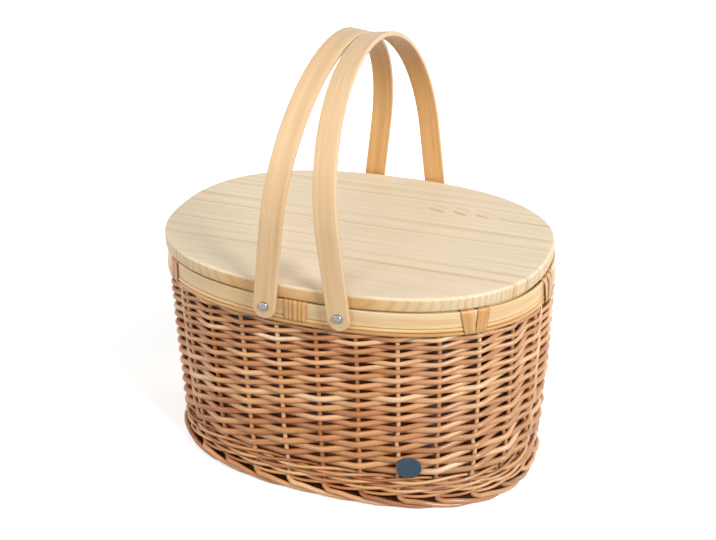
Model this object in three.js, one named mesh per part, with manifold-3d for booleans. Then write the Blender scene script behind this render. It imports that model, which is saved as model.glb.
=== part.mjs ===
// Oval willow picnic basket with a cooling liner, a lift-off wooden lid and two bentwood handles.
// Millimetres, +Z up. The origin is the centre of the foot, X runs along the basket, the front is -Y.

import * as THREE from "three";
import { mergeVertices } from "three/addons/utils/BufferGeometryUtils.js";
import Module from "manifold-3d";

const wasm = await Module();
wasm.setup();

// Oval form of the basket
const rimLength = 397;
const rimWidth = 289;
const rimHeight = 228.4;
const footLength = 398;
const footWidth = 270;
const ovalPower = 2.4;
const stakeCount = 28;
const stakeShift = 0.14;
const clearance = 0.3;

// Woven wall and its foot
const wallThickness = 12.5;
const weaveRows = 28;
const weaveDepth = 4.2;
const borderHeight = 19;
const borderWidth = 15;
const borderProud = 4;
const waleHeight = 20;
const waleProud = 1;
const layRelief = 2;
const layStakes = 2;

// Rim: two bent bands with the ends of the stakes between them, and two rods below the outer band
const bandHeight = 16;
const bandThickness = 3;
const lipThickness = 5;
const rodDiameter = 4;
const rodCount = 2;

// Cane bindings over the rim
const caneThickness = 1.2;
const bindingWidth = 22;

// Base
const matHeight = 15;
const matThickness = 6;
const stickDiameter = 6;
const stickCount = 3;
const stickSpacing = 62;

// Cooling liner
const linerRecess = 4.5;
const linerThickness = 5;
const tapeThickness = 1;
const tapeDrop = 9;

// Lid
const lidThickness = 14.5;
const lidOverhang = 1.5;
const lidEdgeRadius = 3;
const padThickness = 9;
const padMargin = 2;

// Handles and the bolts that they swing on
const pivotDrop = 4.9;
const pivotSpacing = 74.8;
const stripWidth = 22.5;
const stripThickness = 5;
const stripEdge = 0.8;
const legGap = 4.5;
const legHeight = 80;
const archHeight = 141;
const endDrop = 13;
const shankRadius = 2.9;
const headRadius = 4.7;
const headHeight = 2.8;
const spacerRadius = 7;
const washerRadius = 6;
const washerThickness = 1.2;
const nutWidth = 9.6;
const nutHeight = 5;
const boltTip = 1.5;
const boltSides = 12;

// Bare round tag on the front
const tagRadius = 12.5;
const tagThickness = 2;
const tagStudRadius = 3;
const tagAcross = 98;

// Levels and places that follow from the sizes above
const waleBottom = borderHeight + clearance;
const waleTop = waleBottom + waleHeight;
const wallBottom = waleTop + clearance;
const bandBottom = rimHeight - bandHeight;
const shoulder = bandBottom - clearance - rodCount * (rodDiameter + clearance);
const lipInset = bandThickness + clearance;
const innerBandInset = lipInset + lipThickness + clearance;
const innerFaceInset = innerBandInset + bandThickness;
const matTop = matHeight + matThickness;
const linerTop = shoulder - linerRecess;
const linerGap = tapeThickness + 2 * clearance;
const lidBottom = rimHeight + 2 * clearance + caneThickness;
const pivotX = pivotSpacing / 2;
const pivotHeight = rimHeight - pivotDrop;
const legInner = rimWidth / 2 + legGap;
const legOuter = legInner + stripThickness;
const boreRadius = shankRadius + clearance;
const tagHeight = waleTop + tagRadius;

// Finishes
const finishes = {
  willow: { color: 0xb97a3f, roughness: 0.55, metalness: 0 },
  darkWillow: { color: 0x9c6232, roughness: 0.6, metalness: 0 },
  band: { color: 0xe0bd80, roughness: 0.5, metalness: 0 },
  cane: { color: 0xd6a964, roughness: 0.5, metalness: 0 },
  pine: { color: 0xecd3a4, roughness: 0.5, metalness: 0 },
  bentwood: { color: 0xe7c795, roughness: 0.45, metalness: 0 },
  liner: { color: 0x8d97a3, roughness: 0.85, metalness: 0 },
  tape: { color: 0x5d6670, roughness: 0.85, metalness: 0 },
  steel: { color: 0xc9cbcf, roughness: 0.25, metalness: 1 },
  slate: { color: 0x465463, roughness: 0.5, metalness: 0 },
};

const basket = new THREE.Group();

// Adds one named piece to a group
function addPiece(parent, name, geometry, finish) {
  const mesh = new THREE.Mesh(geometry, new THREE.MeshStandardMaterial(finishes[finish]));
  mesh.name = name;
  parent.add(mesh);
  return mesh;
}

// Oval stations: half-lengths in X and Y at a height, drawn in from the rim, the wall or the foot
function rim(inset, z) {
  return { x: rimLength / 2 - inset, y: rimWidth / 2 - inset, z };
}

function foot(inset, z) {
  return { x: footLength / 2 - inset, y: footWidth / 2 - inset, z };
}

function wall(inset, z) {
  const rise = (z - waleBottom) / (shoulder - waleBottom);
  const low = foot(borderProud + inset, z);
  const high = rim(inset, z);
  return { x: low.x + (high.x - low.x) * rise, y: low.y + (high.y - low.y) * rise, z };
}

// Point of the oval |x/a|^p + |y/b|^p = 1 at parameter t
function ovalPoint(station, t) {
  const power = 2 / ovalPower;
  const c = Math.cos(t);
  const s = Math.sin(t);
  const x = station.x * Math.sign(c) * Math.abs(c) ** power;
  const y = station.y * Math.sign(s) * Math.abs(s) ** power;
  return [x, y, station.z];
}

// Half-width of an oval at a place along its length, and half-length at a place across it
function ovalHalfWidth(station, x) {
  return station.y * (1 - Math.abs(x / station.x) ** ovalPower) ** (1 / ovalPower);
}

function ovalHalfLength(station, y) {
  return station.x * (1 - Math.abs(y / station.y) ** ovalPower) ** (1 / ovalPower);
}

// Parameters that divide the rim into equal lengths, two for each stake, the first past the +X end
function evenParameters(count) {
  const steps = 3600;
  const lengths = [0];
  const outline = rim(0, 0);
  for (let i = 1; i <= steps; i += 1) {
    const [x0, y0] = ovalPoint(outline, ((i - 1) / steps) * 2 * Math.PI);
    const [x1, y1] = ovalPoint(outline, (i / steps) * 2 * Math.PI);
    lengths.push(lengths[i - 1] + Math.hypot(x1 - x0, y1 - y0));
  }
  const parameters = [];
  let step = 0;
  for (let k = 0; k < count; k += 1) {
    const goal = ((k + 2 * stakeShift) / count) * lengths[steps];
    while (lengths[step + 1] < goal) step += 1;
    const part = (goal - lengths[step]) / (lengths[step + 1] - lengths[step]);
    parameters.push(((step + part) / steps) * 2 * Math.PI);
  }
  return parameters;
}

const ovalParameters = evenParameters(2 * stakeCount);

function meshFrom(positions, faces) {
  const geometry = new THREE.BufferGeometry();
  geometry.setAttribute("position", new THREE.Float32BufferAttribute(positions, 3));
  geometry.setIndex(faces);
  return geometry;
}

// Skin between neighbouring columns of stations; a column goes counter-clockwise, outwards to the right
function skin(columns, rows, closedRound, closedProfile) {
  const faces = [];
  const spans = closedProfile ? rows : rows - 1;
  const steps = closedRound ? columns : columns - 1;
  for (let i = 0; i < steps; i += 1) {
    for (let j = 0; j < spans; j += 1) {
      const a = i * rows + j;
      const b = ((i + 1) % columns) * rows + j;
      const c = ((i + 1) % columns) * rows + ((j + 1) % rows);
      const d = i * rows + ((j + 1) % rows);
      faces.push(a, b, c, a, c, d);
    }
  }
  return faces;
}

// Ring whose closed section, which may change from column to column, is carried round the oval
function ovalRing(sectionAt) {
  const positions = [];
  let rows = 0;
  ovalParameters.forEach((t, column) => {
    const section = sectionAt(column);
    rows = section.length;
    for (const station of section) positions.push(...ovalPoint(station, t));
  });
  return meshFrom(positions, skin(ovalParameters.length, rows, true, true));
}

// Closed oval body whose open section runs from the middle of its underside to the middle of its top
function ovalBody(section) {
  const positions = [];
  const columns = ovalParameters.length;
  const rows = section.length;
  for (const t of ovalParameters) {
    for (const station of section) positions.push(...ovalPoint(station, t));
  }
  const faces = skin(columns, rows, true, false);
  const bottom = positions.push(0, 0, section[0].z) / 3 - 1;
  const top = positions.push(0, 0, section[rows - 1].z) / 3 - 1;
  for (let i = 0; i < columns; i += 1) {
    const next = (i + 1) % columns;
    faces.push(bottom, next * rows, i * rows);
    faces.push(top, i * rows + rows - 1, next * rows + rows - 1);
  }
  return meshFrom(positions, faces);
}

// Stretch of a ring between two parameters, closed at both ends
function ovalStretch(section, from, to, steps) {
  const positions = [];
  const rows = section.length;
  for (let i = 0; i <= steps; i += 1) {
    for (const station of section) positions.push(...ovalPoint(station, from + ((to - from) * i) / steps));
  }
  const faces = skin(steps + 1, rows, false, true);
  const outline = section.map((station) => new THREE.Vector2(station.y, station.z));
  for (const [a, b, c] of THREE.ShapeUtils.triangulateShape(outline, [])) {
    faces.push(a, b, c);
    faces.push(steps * rows + c, steps * rows + b, steps * rows + a);
  }
  return meshFrom(positions, faces);
}

// Solid for joining and cutting, and the way back to a geometry
function solidOf(geometry) {
  const bare = geometry.clone();
  bare.deleteAttribute("normal");
  bare.deleteAttribute("uv");
  const merged = mergeVertices(bare, 1e-4);
  const vertProperties = new Float32Array(merged.attributes.position.array);
  const triVerts = new Uint32Array(merged.index.array);
  return new wasm.Manifold(new wasm.Mesh({ numProp: 3, vertProperties, triVerts }));
}

function geometryOf(solid) {
  const { vertProperties, triVerts } = solid.getMesh();
  return meshFrom(Array.from(vertProperties), Array.from(triVerts));
}

// Bolt holes through the front and the back of a ring
function boredForBolts(geometry) {
  let solid = solidOf(geometry);
  for (const side of [-1, 1]) {
    const drill = new THREE.CylinderGeometry(boreRadius, boreRadius, 2 * rimWidth, boltSides);
    drill.translate(side * pivotX, 0, pivotHeight);
    solid = solid.subtract(solidOf(drill));
  }
  return geometryOf(solid);
}

// Revolved piece about the Y axis, from its profile of radius and depth, closed on itself
function revolved(profile, sides) {
  const points = profile.map(([radius, depth]) => new THREE.Vector2(radius, depth));
  return new THREE.LatheGeometry(points, sides);
}

function flatRing(innerRadius, outerRadius, depth, sides) {
  return revolved(
    [[innerRadius, 0], [outerRadius, 0], [outerRadius, depth], [innerRadius, depth], [innerRadius, 0]],
    sides,
  );
}

// Depth of the weave at a column and row: rods bulge in front of every other stake, row by row
function weaveInset(column, row) {
  return weaveDepth * (1 - Math.max(0, Math.cos(Math.PI * (column / 2 + row))));
}

// Woven wall: rows of weave over the stakes, and above its shoulder a thinner lip of stake ends
function makeWall() {
  const rowHeight = (shoulder - wallBottom) / weaveRows;
  const wallSection = (column) => {
    const section = [wall(wallThickness, wallBottom), wall(weaveDepth / 2, wallBottom)];
    for (let row = 0; row < weaveRows; row += 1) {
      section.push(wall(weaveInset(column, row), wallBottom + (row + 0.5) * rowHeight));
    }
    section.push(
      wall(weaveDepth / 2, shoulder),
      rim(lipInset, shoulder),
      rim(lipInset, rimHeight),
      rim(lipInset + lipThickness, rimHeight),
      rim(lipInset + lipThickness, shoulder),
      wall(wallThickness, shoulder),
    );
    return section;
  };
  addPiece(basket, "woven_wall", boredForBolts(ovalRing(wallSection)), "willow");
}

// Depth of the groove between twisted rods at a column, where level counts quarter turns of the twist
function layInset(column, level) {
  return (layRelief * (1 - Math.cos((Math.PI * column) / layStakes + (Math.PI * level) / 2))) / 2;
}

// Wale of finer twisted rods that binds the foot of the stakes
function makeWale() {
  const waleRound = waleHeight / 4;
  const waleSection = (column) => [
    wall(wallThickness, waleBottom),
    wall(layRelief, waleBottom),
    wall(layInset(column, 0) - waleProud, waleBottom + waleRound),
    wall(layInset(column, 1) - waleProud, waleTop - waleRound),
    wall(layRelief, waleTop),
    wall(wallThickness, waleTop),
  ];
  addPiece(basket, "upset_wale", ovalRing(waleSection), "darkWillow");
}

// Rolled border that the basket stands on, flat underneath
function makeBorder() {
  const round = borderHeight / 4;
  const borderSection = (column) => [
    foot(borderWidth - round, 0),
    foot(round, 0),
    foot(layInset(column, 0), round),
    foot(layInset(column, 1), borderHeight - round),
    foot(round, borderHeight),
    foot(borderWidth, borderHeight),
    foot(borderWidth, round),
  ];
  addPiece(basket, "foot_border", ovalRing(borderSection), "darkWillow");
}

// Woven base with its long sticks underneath
function makeBase() {
  const matEdge = Math.max(borderWidth, borderProud + wallThickness) + clearance;
  addPiece(basket, "base_mat", ovalBody([foot(matEdge, matHeight), foot(matEdge, matTop)]), "darkWillow");
  const stickLevel = matHeight - clearance - stickDiameter / 2;
  for (let i = 0; i < stickCount; i += 1) {
    const across = (i - (stickCount - 1) / 2) * stickSpacing;
    const reach = Math.abs(across) + stickDiameter / 2;
    const length = 2 * (ovalHalfLength(foot(borderWidth, 0), reach) - clearance);
    const stick = new THREE.CylinderGeometry(stickDiameter / 2, stickDiameter / 2, length, 10);
    stick.rotateZ(Math.PI / 2);
    const piece = addPiece(basket, `base_stick_${i + 1}`, stick, "darkWillow");
    piece.position.set(0, across, stickLevel);
  }
}

// Bent bands inside and outside the stake ends, and the rods under the outer band
function makeRim() {
  const bandAt = (inset) => () => [
    rim(inset + bandThickness, bandBottom),
    rim(inset, bandBottom),
    rim(inset, rimHeight),
    rim(inset + bandThickness, rimHeight),
  ];
  addPiece(basket, "rim_band_outer", boredForBolts(ovalRing(bandAt(0))), "band");
  addPiece(basket, "rim_band_inner", boredForBolts(ovalRing(bandAt(innerBandInset))), "band");
  const rodSides = 5;
  const rodRadius = rodDiameter / 2;
  const rodInset = bandThickness - rodRadius;
  for (let k = 0; k < rodCount; k += 1) {
    const level = shoulder + clearance + rodRadius + k * (rodDiameter + clearance);
    const rodSection = [];
    for (let j = 0; j < rodSides; j += 1) {
      const turn = (j / rodSides) * 2 * Math.PI;
      rodSection.push(rim(rodInset - rodRadius * Math.cos(turn), level + rodRadius * Math.sin(turn)));
    }
    addPiece(basket, `rim_rod_${k + 1}`, ovalRing(() => rodSection), "cane");
  }
}

// Cane bindings hooked over the rods and both bands, open below where the stakes come up between them
function makeBindings() {
  const wrapInner = innerFaceInset + 2 * clearance;
  const wrapTop = rimHeight + clearance;
  const wrapOuter = bandThickness - rodDiameter - clearance;
  const wrapFoot = shoulder + clearance;
  const wrapSection = [
    rim(wrapOuter, wrapFoot),
    rim(wrapOuter - caneThickness, wrapFoot),
    rim(wrapOuter - caneThickness, wrapTop + caneThickness),
    rim(wrapInner + caneThickness, wrapTop + caneThickness),
    rim(wrapInner + caneThickness, bandBottom),
    rim(wrapInner, bandBottom),
    rim(wrapInner, wrapTop),
    rim(wrapOuter, wrapTop),
  ];
  const places = {
    binding_front: [-0.045, -1],
    binding_back: [0.045, 1],
    binding_front_right: [0.78, -1],
    binding_back_left: [-0.78, 1],
    binding_right_front: [0.999, -1],
    binding_left_front: [-0.8, -1],
    binding_right_back: [0.8, 1],
    binding_left_back: [-0.999, 1],
  };
  const outline = rim(0, 0);
  for (const [name, [along, side]] of Object.entries(places)) {
    const across = (1 - Math.abs(along) ** ovalPower) ** (1 / ovalPower);
    const power = ovalPower / 2;
    const t = Math.atan2(side * across ** power, Math.sign(along) * Math.abs(along) ** power);
    const [x0, y0] = ovalPoint(outline, t - 0.01);
    const [x1, y1] = ovalPoint(outline, t + 0.01);
    const halfTurn = (bindingWidth / 2) * (0.02 / Math.hypot(x1 - x0, y1 - y0));
    addPiece(basket, name, ovalStretch(wrapSection, t - halfTurn, t + halfTurn, 4), "cane");
  }
}

// Insulated liner standing on the base: a sewn floor and wall, with a tape over the top edge
function makeLiner() {
  const outer = wallThickness + linerGap;
  const floorBottom = matTop + clearance;
  const floorTop = floorBottom + linerThickness;
  const floorSection = [wall(outer, floorBottom), wall(outer, floorTop)];
  addPiece(basket, "liner_floor", ovalBody(floorSection), "liner");
  const sideBottom = floorTop + clearance;
  const sideSection = [
    wall(outer + linerThickness, sideBottom),
    wall(outer, sideBottom),
    wall(outer, linerTop),
    wall(outer + linerThickness, linerTop),
  ];
  addPiece(basket, "liner_wall", ovalRing(() => sideSection), "liner");
  const inside = outer + linerThickness + clearance;
  const tapeBottom = linerTop - tapeDrop;
  const tapeSection = [
    wall(outer - clearance, tapeBottom),
    wall(outer - clearance - tapeThickness, tapeBottom),
    wall(outer - clearance - tapeThickness, linerTop + clearance + tapeThickness),
    wall(inside + tapeThickness, linerTop + clearance + tapeThickness),
    wall(inside + tapeThickness, tapeBottom),
    wall(inside, tapeBottom),
    wall(inside, linerTop + clearance),
    wall(outer - clearance, linerTop + clearance),
  ];
  addPiece(basket, "liner_edge_tape", ovalRing(() => tapeSection), "tape");
}

// Bolts with their spacers, inner washers and nuts, each set built for the back and turned for the front
function makeBolts() {
  const spacerInner = ovalHalfWidth(rim(0, 0), pivotX - spacerRadius) + clearance;
  const washerOuter = ovalHalfWidth(rim(innerFaceInset, 0), pivotX + washerRadius) - clearance;
  const nutOuter = washerOuter - washerThickness - clearance;
  const tip = nutOuter - nutHeight - boltTip;
  const under = legOuter + clearance;
  const headProfile = [];
  const headSteps = 4;
  for (let i = 0; i <= headSteps; i += 1) {
    const turn = (i / headSteps) * (Math.PI / 2);
    headProfile.push([headRadius * Math.cos(turn), under + headHeight * Math.sin(turn)]);
  }
  headProfile[headSteps][0] = 0;
  const boltProfile = [[0, tip], [shankRadius, tip], [shankRadius, under], ...headProfile];
  const hexagon = new THREE.Shape();
  const nutCorner = nutWidth / Math.sqrt(3);
  for (let i = 0; i < 6; i += 1) {
    const turn = (i / 6) * 2 * Math.PI;
    const x = nutCorner * Math.cos(turn);
    const y = nutCorner * Math.sin(turn);
    if (i === 0) hexagon.moveTo(x, y);
    else hexagon.lineTo(x, y);
  }
  hexagon.closePath();
  hexagon.holes.push(new THREE.Path().absarc(0, 0, boreRadius, 0, 2 * Math.PI, true));
  const nutOptions = { depth: nutHeight, bevelEnabled: false, curveSegments: boltSides };
  for (const [end, turned] of [["back", 0], ["front", Math.PI]]) {
    for (const [hand, side] of [["left", -1], ["right", 1]]) {
      const set = new THREE.Group();
      set.position.set(side * pivotX, 0, pivotHeight);
      set.rotation.z = turned;
      basket.add(set);
      const place = `${end}_${hand}`;
      addPiece(set, `pivot_bolt_${place}`, revolved(boltProfile, boltSides), "steel");
      const spacer = flatRing(boreRadius, spacerRadius, legInner - clearance - spacerInner, boltSides);
      addPiece(set, `spacer_${place}`, spacer, "bentwood").position.y = spacerInner;
      const washer = flatRing(boreRadius, washerRadius, washerThickness, boltSides);
      addPiece(set, `washer_${place}`, washer, "steel").position.y = washerOuter - washerThickness;
      const nut = new THREE.ExtrudeGeometry(hexagon, nutOptions);
      nut.rotateX(Math.PI / 2);
      addPiece(set, `nut_${place}`, nut, "steel").position.y = nutOuter;
    }
  }
  return tip;
}

// Bare round tag just above the wale, leaning with the wall, with a stud into the weave behind it
function makeTag() {
  const station = wall(0, tagHeight);
  const y = -ovalHalfWidth(station, tagAcross);
  const slopeX = (Math.abs(tagAcross / station.x) ** (ovalPower - 1) / station.x) * Math.sign(tagAcross);
  const slopeY = Math.abs(y / station.y) ** (ovalPower - 1) / station.y;
  const lean = Math.atan2(wall(0, shoulder).y - wall(0, waleBottom).y, shoulder - waleBottom);
  const studDepth = (2 * weaveDepth) / 3;
  const tagProfile = [
    [0, -studDepth],
    [tagStudRadius, -studDepth],
    [tagStudRadius, 0],
    [tagRadius, 0],
    [tagRadius, tagThickness],
    [0, tagThickness],
  ];
  const place = new THREE.Group();
  place.position.set(tagAcross, y, tagHeight);
  place.rotation.z = Math.PI + Math.atan2(slopeX, slopeY);
  basket.add(place);
  const tag = addPiece(place, "front_tag", revolved(tagProfile, 24), "slate");
  tag.rotation.x = -lean;
  tag.position.y = clearance;
}

// One-board lid with rounded edges, and the insulating pad on its underside
function makeLid(boltEnd) {
  const lidTop = lidBottom + lidThickness;
  const soft = lidEdgeRadius * (1 - Math.SQRT1_2);
  const lidSection = [
    rim(lidEdgeRadius / 2 - lidOverhang, lidBottom),
    rim(-lidOverhang, lidBottom + lidEdgeRadius / 2),
    rim(-lidOverhang, lidTop - lidEdgeRadius),
    rim(soft - lidOverhang, lidTop - soft),
    rim(lidEdgeRadius - lidOverhang, lidTop),
  ];
  addPiece(basket, "lid_board", ovalBody(lidSection), "pine");
  const padInset = rimWidth / 2 - boltEnd + padMargin;
  const padTop = lidBottom - clearance;
  const padSection = [
    rim(padInset + padThickness / 2, padTop - padThickness),
    rim(padInset, padTop - padThickness / 2),
    rim(padInset, padTop),
  ];
  addPiece(basket, "lid_pad", ovalBody(padSection), "liner");
}

// Bent strip: the side view of the hoop, rounded at its feet by its front view, and bored for the bolts
function makeHoop() {
  const side = new THREE.Shape();
  const outerY = legOuter - stripEdge;
  const innerY = legInner + stripEdge;
  const half = stripThickness / 2 - stripEdge;
  const below = -endDrop - stripWidth;
  side.moveTo(outerY, below);
  side.lineTo(outerY, legHeight);
  side.absellipse(0, legHeight, outerY, archHeight + half, 0, Math.PI, false, 0);
  side.lineTo(-outerY, below);
  side.lineTo(-innerY, below);
  side.lineTo(-innerY, legHeight);
  side.absellipse(0, legHeight, innerY, archHeight - half, Math.PI, 0, true, 0);
  side.lineTo(innerY, below);
  side.closePath();
  const strip = new THREE.ExtrudeGeometry(side, {
    depth: stripWidth - 2 * stripEdge,
    bevelThickness: stripEdge,
    bevelSize: stripEdge,
    bevelSegments: 1,
    curveSegments: 20,
  });
  strip.translate(0, 0, -stripWidth / 2 + stripEdge);
  const toFront = new THREE.Matrix4().makeBasis(
    new THREE.Vector3(0, 1, 0),
    new THREE.Vector3(0, 0, 1),
    new THREE.Vector3(1, 0, 0),
  );
  strip.applyMatrix4(toFront);

  const reach = legHeight + archHeight + stripThickness;
  const footCentre = stripWidth / 2 - endDrop;
  const front = new THREE.Shape();
  front.moveTo(stripWidth, reach);
  front.lineTo(-stripWidth, reach);
  front.lineTo(-stripWidth, legHeight);
  front.lineTo(-stripWidth / 2, legHeight);
  front.lineTo(-stripWidth / 2, footCentre);
  front.absarc(0, footCentre, stripWidth / 2, Math.PI, 2 * Math.PI, false);
  front.lineTo(stripWidth / 2, legHeight);
  front.lineTo(stripWidth, legHeight);
  front.closePath();
  const frontDepth = 4 * legOuter;
  const frontOptions = { depth: frontDepth, bevelEnabled: false, curveSegments: 12 };
  const frontBody = new THREE.ExtrudeGeometry(front, frontOptions);
  frontBody.translate(0, 0, -frontDepth / 2);
  frontBody.rotateX(Math.PI / 2);

  const drill = new THREE.CylinderGeometry(boreRadius, boreRadius, frontDepth, boltSides);
  return geometryOf(solidOf(strip).intersect(solidOf(frontBody)).subtract(solidOf(drill)));
}

// Two handles that lean together until their upper edges nearly touch over the middle
function makeHandles() {
  const topHeight = legHeight + archHeight + stripThickness / 2;
  const cornerReach = Math.hypot(stripWidth / 2, topHeight);
  const cornerAngle = Math.atan2(stripWidth / 2, topHeight);
  const lean = Math.asin((pivotX - clearance) / cornerReach) - cornerAngle;
  for (const [name, side] of [["handle_left", -1], ["handle_right", 1]]) {
    const handle = addPiece(basket, name, makeHoop(), "bentwood");
    handle.position.set(side * pivotX, 0, pivotHeight);
    handle.rotation.y = -side * lean;
  }
}

makeWall();
makeWale();
makeBorder();
makeBase();
makeRim();
makeBindings();
makeLiner();
const boltEnd = makeBolts();
makeTag();
makeLid(boltEnd);
makeHandles();

export default basket;
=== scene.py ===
import math
import bpy
import numpy as np
from mathutils import Matrix, Vector


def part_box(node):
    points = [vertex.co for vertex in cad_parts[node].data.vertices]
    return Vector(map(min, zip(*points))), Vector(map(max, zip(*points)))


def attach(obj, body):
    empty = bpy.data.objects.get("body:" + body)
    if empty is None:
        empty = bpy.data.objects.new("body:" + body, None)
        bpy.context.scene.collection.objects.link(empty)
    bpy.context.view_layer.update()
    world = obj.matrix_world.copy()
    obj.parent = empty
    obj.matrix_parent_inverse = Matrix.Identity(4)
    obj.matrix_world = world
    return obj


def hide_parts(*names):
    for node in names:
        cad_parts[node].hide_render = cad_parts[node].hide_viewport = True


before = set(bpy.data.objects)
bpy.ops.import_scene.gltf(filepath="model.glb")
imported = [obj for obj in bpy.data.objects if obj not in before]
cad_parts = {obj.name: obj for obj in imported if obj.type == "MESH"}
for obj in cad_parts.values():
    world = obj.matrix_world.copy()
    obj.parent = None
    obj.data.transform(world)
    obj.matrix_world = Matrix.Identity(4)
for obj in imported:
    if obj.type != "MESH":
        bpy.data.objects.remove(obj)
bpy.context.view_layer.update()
mm = 0.001
draw = np.random.default_rng(28)

# Form of the basket in millimetres: half-lengths of the oval at the rim, the foot of the wall and the floor
form = {
    "power": 2.4, "rimX": 198.5, "rimY": 144.5, "rimTop": 228.4,
    "wallFootX": 195.0, "wallFootY": 131.0, "wallFootZ": 19.3, "shoulder": 203.5,
    "footX": 199.0, "footY": 135.0, "stakes": 28, "stakeShift": 0.14,
    "bulge": 5.0, "shift": 2.0, "swellFrom": 25.0, "swellRise": 40.0, "swellFall": 20.0, "swellLeft": 0.5,
    "restZ": 78.0, "restSize": 9.0, "restDepth": 0.6,
    "askew": 0.035, "askewTop": 60.0, "rimSwell": 3.5, "rimSwellPower": 6,
}


# Helpers for shapes

# unit oval |x|^p + |y|^p = 1 tabled by its share of the rim's length, counter-clockwise from +X
def ovalTable(steps=40000):
    t = np.linspace(0, 2 * np.pi, steps + 1)
    c, s = np.cos(t), np.sin(t)
    ux = np.sign(c) * np.abs(c) ** (2 / form["power"])
    uy = np.sign(s) * np.abs(s) ** (2 / form["power"])
    step = np.hypot(np.diff(ux * form["rimX"]), np.diff(uy * form["rimY"]))
    length = np.concatenate([[0], np.cumsum(step)])
    return length / length[-1], ux, uy, length[-1]


tableShare, tableX, tableY, rimGirth = ovalTable()


# point of an oval at a share of the way round, moved outwards along its own normal
def ovalPoint(share, halfX, halfY, z, out=0.0):
    share = np.mod(share, 1.0)
    ux = np.interp(share, tableShare, tableX)
    uy = np.interp(share, tableShare, tableY)
    slope = form["power"] - 1
    nx = np.sign(ux) * np.abs(ux) ** slope / halfX
    ny = np.sign(uy) * np.abs(uy) ** slope / halfY
    size = np.hypot(nx, ny)
    nx, ny = nx / size, ny / size
    x, y, z = np.broadcast_arrays(halfX * ux + out * nx, halfY * uy + out * ny, z)
    normal = np.stack(np.broadcast_arrays(nx, ny, 0 * x), -1)
    return np.stack([x, y, z], -1), normal


# the unit oval's second coordinate where its first one is known: (1 - |x|^p)^(1/p)
def ovalAcross(along):
    return (1 - np.abs(along) ** form["power"]) ** (1 / form["power"])


# half-lengths of the wall's outer face, a straight lean from its foot to the shoulder
def wallHalf(z):
    rise = np.minimum((z - form["wallFootZ"]) / (form["shoulder"] - form["wallFootZ"]), 1.0)
    halfX = form["wallFootX"] + (form["rimX"] - form["wallFootX"]) * rise
    halfY = form["wallFootY"] + (form["rimY"] - form["wallFootY"]) * rise
    return halfX, halfY


# the foot stands a little askew: x = x - askew * y at the floor, fading upwards
def askew(points):
    fade = np.clip(1 - points[..., 2] / form["askewTop"], 0, 1)
    points[..., 0] = points[..., 0] - form["askew"] * points[..., 1] * fade
    return points


# point of the hand-woven wall, whose two ends swell between the foot and the rim, the right one more;
# a shallow groove in the swelling is where a lowered handle comes to lie
def wallPoint(share, z, out):
    halfX, halfY = wallHalf(z)
    left = form["swellLeft"]
    rising = np.clip((z - form["swellFrom"]) / form["swellRise"], 0, 1)
    falling = left + np.clip((form["shoulder"] - z) / form["swellFall"], 0, 1 - left)
    groove = form["restDepth"] * np.exp(-((z - form["restZ"]) / form["restSize"]) ** 2)
    swell = np.minimum(rising, falling) * (1 - groove)
    points, normal = ovalPoint(share, halfX + form["bulge"] * swell, halfY, z, out)
    points[..., 0] = points[..., 0] + form["shift"] * swell
    return askew(points), normal


# the rim's band stands out at the right end: out = rimSwell * cos(way round)^6
def rimSwell(share):
    return form["rimSwell"] * np.maximum(np.cos(2 * np.pi * share), 0) ** form["rimSwellPower"]


# share of the way round at a number of stakes from the first one
def stakeShare(u):
    return (u + form["stakeShift"]) / form["stakes"]


def unit(v):
    return v / np.maximum(np.linalg.norm(v, axis=-1, keepdims=True), 1e-12)


# distance along a line of points in a plane, from its first point
def lineReach(line):
    return np.concatenate([[0], np.cumsum(np.hypot(*np.diff(line, axis=0).T))])


# quads between neighbours in a grid of point numbers; each row closes on itself, and so do the rows if closed
def gridQuads(index, closed=False):
    here = index if closed else index[..., :-1, :]
    there = np.roll(index, -1, -2) if closed else index[..., 1:, :]
    return np.stack([here, np.roll(here, -1, -1), np.roll(there, -1, -1), there], -1).reshape(-1, 4)


# mesh from points in millimetres and faces of four or more corners; turned round if it is inside out
def makeMesh(name, points, quads, caps=(), values=None):
    points = points.reshape(-1, 3)
    a, b, c, d = (points[quads[:, i]] for i in range(4))
    volume = np.sum(a * np.cross(b, c)) + np.sum(a * np.cross(c, d))
    if volume < 0:
        quads = quads[:, ::-1]
        caps = [cap[:, ::-1] for cap in caps]
    corners = np.concatenate([quads.ravel()] + [cap.ravel() for cap in caps])
    sizes = np.concatenate([np.full(len(quads), 4)] + [np.full(len(cap), cap.shape[1]) for cap in caps])
    mesh = bpy.data.meshes.new(name)
    mesh.vertices.add(len(points))
    mesh.vertices.foreach_set("co", (points * mm).astype(np.float32).ravel())
    mesh.loops.add(len(corners))
    mesh.loops.foreach_set("vertex_index", corners.astype(np.int32))
    mesh.polygons.add(len(sizes))
    mesh.polygons.foreach_set("loop_start", (np.cumsum(sizes) - sizes).astype(np.int32))
    mesh.update(calc_edges=True)
    mesh.validate()
    for key, value in (values or {}).items():
        kind, field = ("FLOAT_VECTOR", "vector") if value.ndim == 2 else ("FLOAT", "value")
        attribute = mesh.attributes.new(key, kind, "POINT")
        attribute.data.foreach_set(field, value.astype(np.float32).ravel())
    mesh.shade_smooth()
    return mesh


# adds a finished piece, named as its mesh: material, body, slot (not used), and the CAD nodes that it stands
# for
def addPiece(mesh, material, body, slot, *nodes):
    piece = bpy.data.objects.new(mesh.name, mesh)
    bpy.context.scene.collection.objects.link(piece)
    mesh.materials.append(material)
    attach(piece, body)
    if nodes:
        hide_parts(*nodes)
    return piece


# every rod reads its grain from another place of the pattern, up to this many metres away
grainSpread = 3.0


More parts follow.
